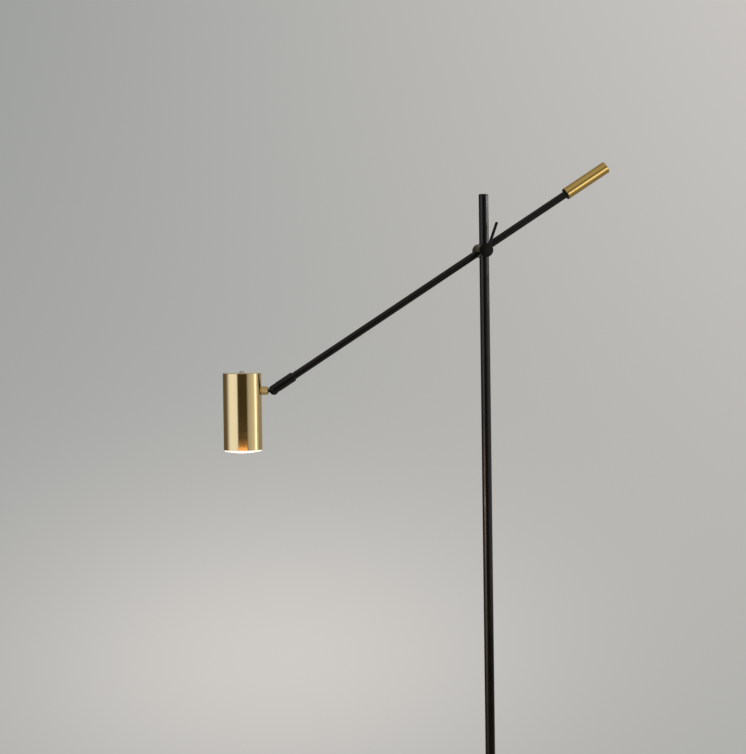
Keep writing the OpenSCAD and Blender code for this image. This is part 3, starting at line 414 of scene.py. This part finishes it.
# ---- Clamp knob and lever --------------------------------------------------
# A turned knob with a slightly domed face, coated a little duller than the hub,
# and the lever pin pressed into it, which fingers keep glossy.
dress(powder_coat("powder_coat_knob_black", "#131210", 0.25, 0.05), "clamp_knob")
dress(powder_coat("powder_coat_lever_black", "#131210", 0.17, 0.03), "clamp_lever")


# ---- Arm tube --------------------------------------------------------------
# Steel rod tube, 9.5 mm across, through the block. It is coated satin black as
# the pole is, before the block's grub screw fixes it.
dress(satin_black, "arm_tube")


# ---- Grub screws and pivot screw -------------------------------------------
# Hardened steel, blackened in hot oxide and oiled: almost black metal with a
# low sheen and brown-blue clouds.
oxide, tree, where = principled("steel_black_oxide", Metallic=1.0, Roughness=0.4)
cloud = add(tree, "ShaderNodeTexNoise", {"Scale": 300.0, "Detail": 4.0}, {"Vector": where})
spread(oxide, cloud, shades=("#2a2624", "#23262b"), gloss=(0.32, 0.48))
dress(oxide, "hub_screw", "arm_screw", "weight_screw", "pivot_screw")


# ---- Counterweight ---------------------------------------------------------
# Solid 16 mm brass bar, bored, turned, polished round and lacquered. The polishing
# lines run round it: real ones are 0.05 mm apart, and these are drawn 0.7 mm apart.
def polished_brass(name, lean, shades, gloss):
    """Polished brass whose lines run round an axis that leans from upright, in degrees to +X."""
    brass, tree, where = principled(name, Metallic=1.0, Roughness=gloss, Coat_Weight=1.0, Coat_Roughness=0.06)
    upright = add(tree, "ShaderNodeMapping", {"vector_type": "POINT", 2: (0, math.radians(-lean), 0)},
                  {0: where})
    stretch = add(tree, "ShaderNodeVectorMath", {"operation": "MULTIPLY", 1: (30, 30, 1400)}, {0: upright})
    lines = add(tree, "ShaderNodeTexNoise", {"Scale": 1.0, "Detail": 3.0}, {"Vector": stretch})
    spread(brass, lines, gloss=(gloss - 0.03, gloss + 0.03), relief=(0.03, 0.0001))
    cloud = add(tree, "ShaderNodeTexNoise", {"Scale": 35.0, "Detail": 3.0}, {"Vector": where})
    spread(brass, cloud, shades=shades)
    return brass


arm_rise = 32.6
# Its brass is the shell's metal drawn a deeper gold: painted shade standing in for how the light colours it,
# not a different alloy.
dress(polished_brass("brass_polished_weight", 90 - arm_rise, ("#e4c16b", "#dcb75f"), 0.15), "counterweight")


# ---- Counterweight: ring ---------------------------------------------------
# A ring of black acetal on the arm, against the weight's inner end. It is turned
# from rod and left dull, with marks drawn about 1 mm across.
acetal, tree, where = principled("acetal_turned_black", Base_Color=linear("#121212"), Roughness=0.5)
marks = add(tree, "ShaderNodeTexNoise", {"Scale": 900.0, "Detail": 2.0}, {"Vector": where})
spread(acetal, marks, gloss=(0.42, 0.58))
dress(acetal, "weight_ring")


# ---- Head: shell and collar ------------------------------------------------
# A brass cup drawn from sheet, polished round and lacquered clear, and the turned
# brass collar between it and the knuckle, left duller.
# The shell's and the collar's brass is drawn paler than the weight's, a painted highlight that makes its
# bright bands wash out to cream as in strong light.
dress(polished_brass("brass_polished_shell", 0, ("#ecd59e", "#e8ce94"), 0.12), "head_shell")
dress(polished_brass("brass_polished_collar", 90, ("#ebcc86", "#e6c67e"), 0.34), "swivel_collar")


# ---- Head: top screw -------------------------------------------------------
# Domed brass screw under bright nickel plate, which mirrors the room with a
# warm white tint. The spacer on it and the board's screws are zinc plated.
nickel, tree, where = principled("nickel_plate_bright", Metallic=1.0, Roughness=0.1)
cloud = add(tree, "ShaderNodeTexNoise", {"Scale": 400.0, "Detail": 3.0}, {"Vector": where})
spread(nickel, cloud, shades=("#dcd8cc", "#d2cdc0"), gloss=(0.07, 0.14))
dress(nickel, "top_screw")
dress(bright_zinc, "sink_spacer", "board_screws")


# ---- Light: heat sink ------------------------------------------------------
# Aluminium, extruded and sawn off. The die leaves fine lines along the fins, drawn
# 0.5 mm apart, on a soft grey metal.
extruded, tree, where = principled("aluminium_extruded", Metallic=1.0, Roughness=0.42)
stretch = add(tree, "ShaderNodeVectorMath", {"operation": "MULTIPLY", 1: (2000, 2000, 30)}, {0: where})
draws = add(tree, "ShaderNodeTexNoise", {"Scale": 1.0, "Detail": 3.0}, {"Vector": stretch})
spread(extruded, draws, shades=("#c4c5c6", "#d2d3d4"), gloss=(0.34, 0.5))
dress(extruded, "heat_sink")


# ---- Light: board and emitter ----------------------------------------------
# White solder mask printed on an aluminium board, and the yellow phosphor layer
# poured over the chips, with fine grains in clear silicone.
mask, tree, where = principled("solder_mask_white", Base_Color=linear("#eceae2"), Roughness=0.35)
print_grain = add(tree, "ShaderNodeTexNoise", {"Scale": 1500.0, "Detail": 2.0}, {"Vector": where})
spread(mask, print_grain, gloss=(0.28, 0.42))
dress(mask, "light_board")
phosphor, tree, where = principled("phosphor_in_silicone", Roughness=0.25)
grains = add(tree, "ShaderNodeTexNoise", {"Scale": 2500.0, "Detail": 3.0}, {"Vector": where})
spread(phosphor, grains, shades=("#f0c53c", "#e5b52e"))
dress(phosphor, "light_emitter")


# ---- Light: reflector ------------------------------------------------------
# Aluminium spun over a parabola and bright anodised. Spinning leaves rings, drawn
# 0.6 mm apart.
spun, tree, where = principled("aluminium_spun_anodised", Metallic=1.0, Roughness=0.16)
stretch = add(tree, "ShaderNodeVectorMath", {"operation": "MULTIPLY", 1: (40, 40, 1700)}, {0: where})
rings = add(tree, "ShaderNodeTexNoise", {"Scale": 1.0, "Detail": 2.0}, {"Vector": stretch})
spread(spun, rings, shades=("#e4e4e4", "#dadadb"), gloss=(0.12, 0.22))
dress(spun, "reflector")


# ---- Light: diffuser and its ring ------------------------------------------
# Opal acrylic, cast and turned, with a bulging face, in a ring of grey silicone.
# The emitter behind it lights it warm white, and its edge, which sticks out of
# the shell, is dimmer.
bright_r, dim_r, pale_r = 0.004, 0.0243, 0.0246
centre = middle_of("diffuser")
opal, tree, where = principled("acrylic_opal_lit", Base_Color=linear("#fff6e6"), Roughness=0.35)
shader = tree.nodes["Principled BSDF"]
centred = add(tree, "ShaderNodeMapping",
              {"vector_type": "POINT", 1: (-centre.x, -centre.y, 0), 3: (1, 1, 0)}, {0: where})
outward = add(tree, "ShaderNodeVectorMath", {"operation": "LENGTH"}, {0: centred}).outputs["Value"]
lit = add(tree, "ShaderNodeMapRange",
          {"interpolation_type": "SMOOTHSTEP", 1: bright_r, 2: dim_r, 3: 5.0, 4: 1.1}, {0: outward})
tree.links.new(lit.outputs[0], shader.inputs["Emission Strength"])
paler = add(tree, "ShaderNodeMapRange", {1: 0.0, 2: pale_r, 3: 0.0, 4: 1.0}, {0: outward})
warm = add(tree, "ShaderNodeMix", {"data_type": "RGBA", 6: linear("#ffe9c4"), 7: linear("#fff2dc")},
           {0: paler})
tree.links.new(warm.outputs[2], shader.inputs["Emission Color"])
dress(opal, "diffuser")
dress(moulded_rubber("silicone_moulded_grey", "#3a3a39"), "diffuser_ring")


# ---- Leads -----------------------------------------------------------------
# Two-core lead in a white PVC sheath, drawn through the pole, the arm and the head.
# The sheath is smooth and slightly greasy, and twists every 20 mm or so.
sheath, tree, where = principled("pvc_sheath_white", Roughness=0.42)
twists = add(tree, "ShaderNodeTexNoise", {"Scale": 50.0, "Detail": 2.0}, {"Vector": where})
spread(sheath, twists, shades=("#dddad0", "#cfccc2"), gloss=(0.36, 0.5))
dress(sheath, "pole_lead", "arm_lead", "head_lead")
